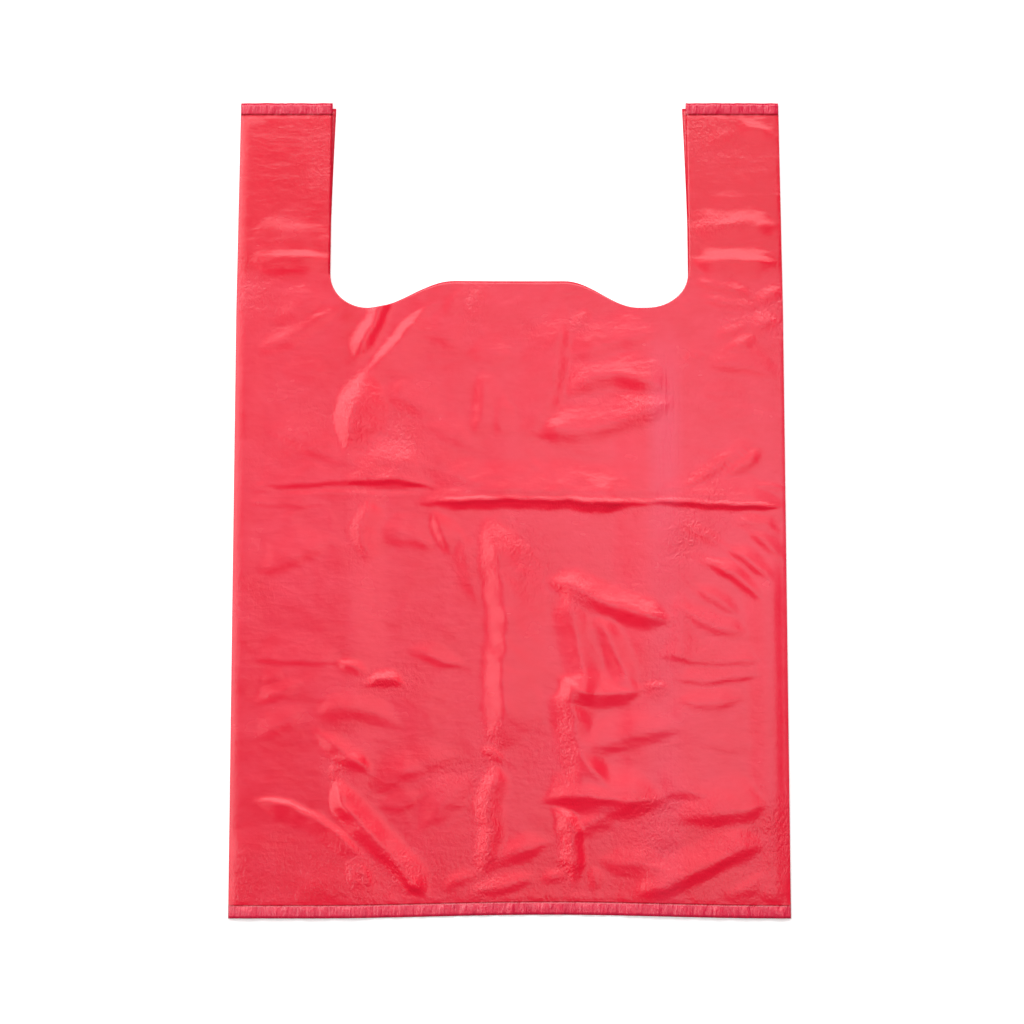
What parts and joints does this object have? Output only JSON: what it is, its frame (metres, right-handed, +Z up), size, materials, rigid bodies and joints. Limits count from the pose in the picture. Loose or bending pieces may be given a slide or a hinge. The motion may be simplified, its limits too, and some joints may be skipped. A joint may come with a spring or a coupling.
{
  "type": "plastic carrier bag",
  "caption": "Thin-film vest carrier bag lying flat and creased: loop handles, die-cut mouth, side gussets folded in, welds along the bottom and across the handle tops.",
  "frame": {"origin": "centre of the bag's length and width, on the underside of the back panel", "axes": "+Z up out of the flat bag, +Y from the bottom weld towards the handles, +X across the bag to its right"},
  "size_m": [0.4, 0.595, 0.0052],
  "materials": {
    "red_film": "thin translucent red film, semi-gloss and creased"
  },
  "bodies": {
    "root": {"carrier_bag": "red_film"}
  },
  "joints": []
}
